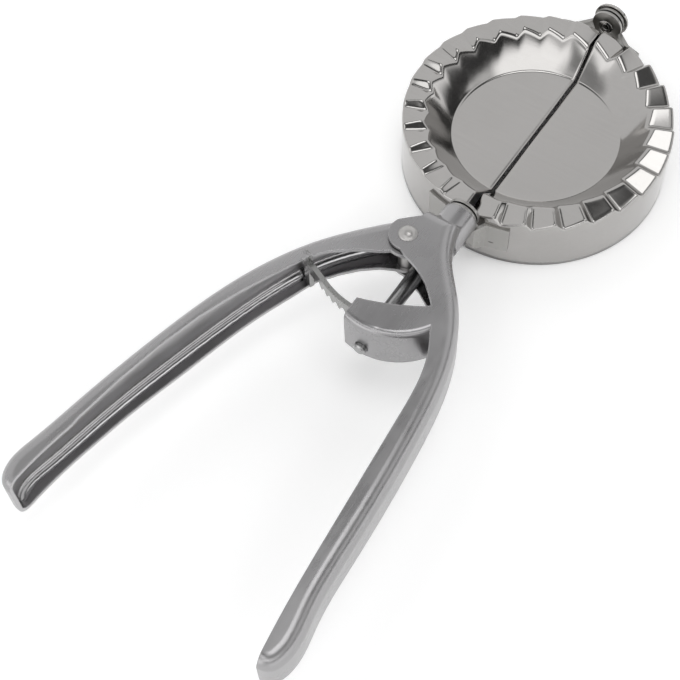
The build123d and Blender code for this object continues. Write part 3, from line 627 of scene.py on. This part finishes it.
def angle_samples():
    """Angles from 0 to 180: 15 across each steep side and its corners, 5 on each ramp, 9 at each end."""
    steep = np.linspace(-RISER / 2 - CORNER, RISER / 2 + CORNER, 15)
    easy = np.linspace(steep[-1], TOOTH + steep[0], 7)[1:-1]
    one = np.concatenate([steep, easy])
    every = (one[None, :] + np.arange(TEETH)[:, None] * TOOTH).ravel()
    every = every[(every > END_REACH) & (every < 180.0 - END_REACH)]
    return np.concatenate([END_ANGLES, every, (180.0 - END_ANGLES)[::-1]])


def saw(angles):
    """Saw-tooth from -0.5 to 0.5: straight ramps and steep sides, eased by RISER_EASE on either side."""
    fine = np.linspace(-6, 186, 9601)
    tooth = np.clip(np.floor((fine + TOOTH / 2) / TOOTH), 1, TEETH - 1)
    ramp_index = np.clip(np.floor(fine / TOOTH), 0, TEETH - 1)
    along = (fine - ramp_index * TOOTH - RISER / 2) / (TOOTH - RISER) - 0.5
    across = (tooth * TOOTH + RISER / 2 - fine) / RISER - 0.5
    values = np.where(np.abs(fine - tooth * TOOTH) < RISER / 2, across, along)
    width = int(round(RISER_EASE / (fine[1] - fine[0])))
    kernel = np.ones(2 * width + 1) / (2 * width + 1)
    values = np.convolve(np.convolve(values, kernel, "same"), kernel, "same")
    return np.interp(angles, fine, values)


def warp(angles, factor):
    """Each steep side made wider or narrower by a factor about its middle; the ramps take up the rest."""
    middle = np.clip(np.round(angles / TOOTH), 1, TEETH - 1) * TOOTH
    offset = angles - middle
    half, reach = RISER / 2, TOOTH / 2
    steep = offset * factor
    eased = half * factor + (np.abs(offset) - half) * (reach - half * factor) / (reach - half)
    turned = np.where(np.abs(offset) <= half, steep, np.sign(offset) * eased)
    return middle + np.where(np.abs(offset) <= reach, turned, offset)


print("angles round a half:", len(angle_samples()))

# %% [markdown]
# ## The profile
# A profile starts in the middle of the dish, bends up into the wall, rolls over the mouth, runs out along
# the flute, rolls over the rim and drops down the skirt.  Only the mouth and rim move with the
# saw-tooth.  The mouth's radius depends on its height, because it lies on the slope of the wall, and its
# height depends on its radius, because the flutes change from mouth to rim.  Three rounds settle both.

# %% Profile of the sheet
FLOOR_RADII = [0.25, 0.5, 0.8, 1.2, 1.8, 2.6, 4.0]
FLOOR_REST = 6.0
FLOOR_ROWS = 9
BEND_ROWS = 12
WALL_ROWS = 12
MOUTH_ROWS = 7
FLUTE_ROWS = 6
RIM_ROWS = 8
SKIRT_ROWS = 8


def roll(before, corner, after, length, count):
    """Rounded corner: the curve (1 - t)^2 enter + 2 t (1 - t) corner + t^2 leave, length from the corner."""
    enter = corner + (before - corner) * (length / np.linalg.norm(before - corner, axis=-1, keepdims=True))
    leave = corner + (after - corner) * (length / np.linalg.norm(after - corner, axis=-1, keepdims=True))
    t = np.linspace(0, 1, count)[:, None, None]
    return (1 - t) ** 2 * enter + 2 * t * (1 - t) * corner + t ** 2 * leave


def between(a, b, count, sag=0.0):
    """Points from a to b, ends left out; sag bows the line to its lower side by 4 sag t (1 - t)."""
    t = np.linspace(0, 1, count + 2)[1:-1, None, None]
    along = (b - a) / np.linalg.norm(b - a, axis=-1, keepdims=True)
    lower = np.stack([along[..., 1], -along[..., 0]], -1)
    return a + (b - a) * t + lower * (4 * sag * t * (1 - t))


def fluted_edge(wave, mouth_level, rim_level, rim_height):
    """Radius and height of mouth and rim: level + flute height x wave, the mouth on the wall's slope."""
    mouth = np.full_like(wave, MOUTH)
    for _ in range(3):
        share = (mouth - MOUTH) / (RIM - MOUTH)
        level = mouth_level + (rim_level - mouth_level) * share
        height = level + (MOUTH_HEIGHT + (rim_height - MOUTH_HEIGHT) * share) * wave
        mouth = MOUTH + (height - MIDDLE_LEVEL) / math.tan(WALL_SLOPE)
    return (np.stack([mouth, height], -1),
            np.stack([np.full_like(wave, RIM), rim_level + rim_height * wave], -1))


def dish_floor(wave):
    """Rows of the flat floor and of its bend: radius + FLOOR_BEND sin a, height + FLOOR_BEND (1 - cos a)."""
    level = MIDDLE_LEVEL - FLOOR_DROP
    start = MOUTH - FLOOR_DROP / math.tan(WALL_SLOPE) - FLOOR_BEND * math.tan(WALL_SLOPE / 2)
    turn = np.linspace(0, WALL_SLOPE, BEND_ROWS)
    flat = np.concatenate([FLOOR_RADII, np.linspace(FLOOR_REST, start, FLOOR_ROWS)[:-1]])
    radius = np.concatenate([flat, start + FLOOR_BEND * np.sin(turn)])
    height = np.concatenate([np.full_like(flat, level), level + FLOOR_BEND * (1 - np.cos(turn))])
    one = np.ones_like(wave)
    return np.stack([radius[:, None] * one, height[:, None] * one], -1)


def half_grid(levels, rim_height, factors):
    """Grids of angle, radius and height: one row per step of the profile, one column per angle."""
    angles = angle_samples()
    wave = saw(angles)
    mouth, rim = fluted_edge(wave, *levels, rim_height)
    edge = np.stack([np.full_like(wave, RIM), np.full_like(wave, SKIRT_EDGE)], -1)
    dish = dish_floor(wave)
    mouth_rows = roll(dish[-1], mouth, rim, MOUTH_ROLL, MOUTH_ROWS)
    rim_rows = roll(mouth, rim, edge, RIM_ROLL, RIM_ROWS)
    grid = np.concatenate([dish, between(dish[-1], mouth_rows[0], WALL_ROWS, WALL_SAG), mouth_rows,
                           between(mouth_rows[-1], rim_rows[0], FLUTE_ROWS), rim_rows,
                           between(rim_rows[-1], edge, SKIRT_ROWS), edge[None]])
    share = np.clip((grid[..., 0] - MOUTH) / (RIM - MOUTH), 0, 1)
    at_mouth, at_rim = (warp(angles, factor) for factor in factors)
    return at_mouth + (at_rim - at_mouth) * share, grid[..., 0], grid[..., 1]


print("profile: %d rows" % len(half_grid((0, 0), 1.0, (1, 1))[1]))

# %% [markdown]
# ## The two sheets
# The folding half has low flutes at its rim and the fixed half has high ones, and the fixed half's lie a
# little lower, so that the closed sheets keep clear of each other.  Both come from the same function.  A
# fan of triangles closes the middle of the dish, where the columns would otherwise leave a hole.

# %% Half mould meshes
def sheet_points(levels, rim_height, factors, sign):
    """Points x, y, z in metres: radius and angle made flat, y moved out by half the slot.

    The edge at the slot is rolled down: z falls by SLOT_ROLL (1 - t)^2, where t is the share of
    SLOT_ROLL_WIDTH.  The roll fades out over the lowest SLOT_ROLL_FADE, so the skirt's edge stays level.
    """
    angles, radius, height = half_grid(levels, rim_height, factors)
    x = radius * np.cos(np.radians(angles))
    y = SLOT / 2 + radius * np.sin(np.radians(angles)) * (RIM - SLOT / 2) / RIM
    fade = np.clip((height - SKIRT_EDGE) / SLOT_ROLL_FADE, 0, 1)
    height = height - fade * SLOT_ROLL * (1 - np.clip((y - SLOT / 2) / SLOT_ROLL_WIDTH, 0, 1)) ** 2
    return np.stack([sign * x, sign * y, height], -1) * MM


def half_mould(name, levels, rim_height, factors, turned, body, replaced):
    """Sheet of quads between neighbours of the grid, a fan about the middle, and the wall by Solidify."""
    sign = -1.0 if turned else 1.0
    points = sheet_points(levels, rim_height, factors, sign)
    rows, columns = points.shape[:2]
    index = np.arange(rows * columns).reshape(rows, columns)
    quads = np.stack([index[:-1, :-1], index[1:, :-1], index[1:, 1:], index[:-1, 1:]], -1).reshape(-1, 4)
    middle = (0.0, sign * SLOT / 2 * MM, (MIDDLE_LEVEL - FLOOR_DROP - SLOT_ROLL) * MM)
    fan = np.stack([np.full(columns - 1, rows * columns), index[0, :-1], index[0, 1:]], -1)
    mesh = bpy.data.meshes.new(name)
    mesh.from_pydata(points.reshape(-1, 3).tolist() + [middle], [], quads.tolist() + fan.tolist())
    mesh.shade_smooth()
    piece = bpy.data.objects.new(name, mesh)
    bpy.context.scene.collection.objects.link(piece)
    bpy.context.view_layer.objects.active = piece
    wall = piece.modifiers.new("wall", "SOLIDIFY")
    wall.thickness = SHEET * MM
    wall.offset = -1.0
    wall.use_even_offset = True
    mesh.materials.append(STEELS["mould_steel"])
    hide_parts(replaced)
    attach(piece, body)
    print(name, "grid", rows, "x", columns)
    return piece


half_mould("folding_half_sheet", levels=(0.1, -0.1), rim_height=1.1, factors=(1.24, 0.72), turned=False,
           body="folding_half", replaced="left_mould")
half_mould("fixed_half_sheet", levels=(-0.4, -1.0), rim_height=2.8, factors=(1.0, 1.0), turned=True,
           body="frame", replaced="right_mould")
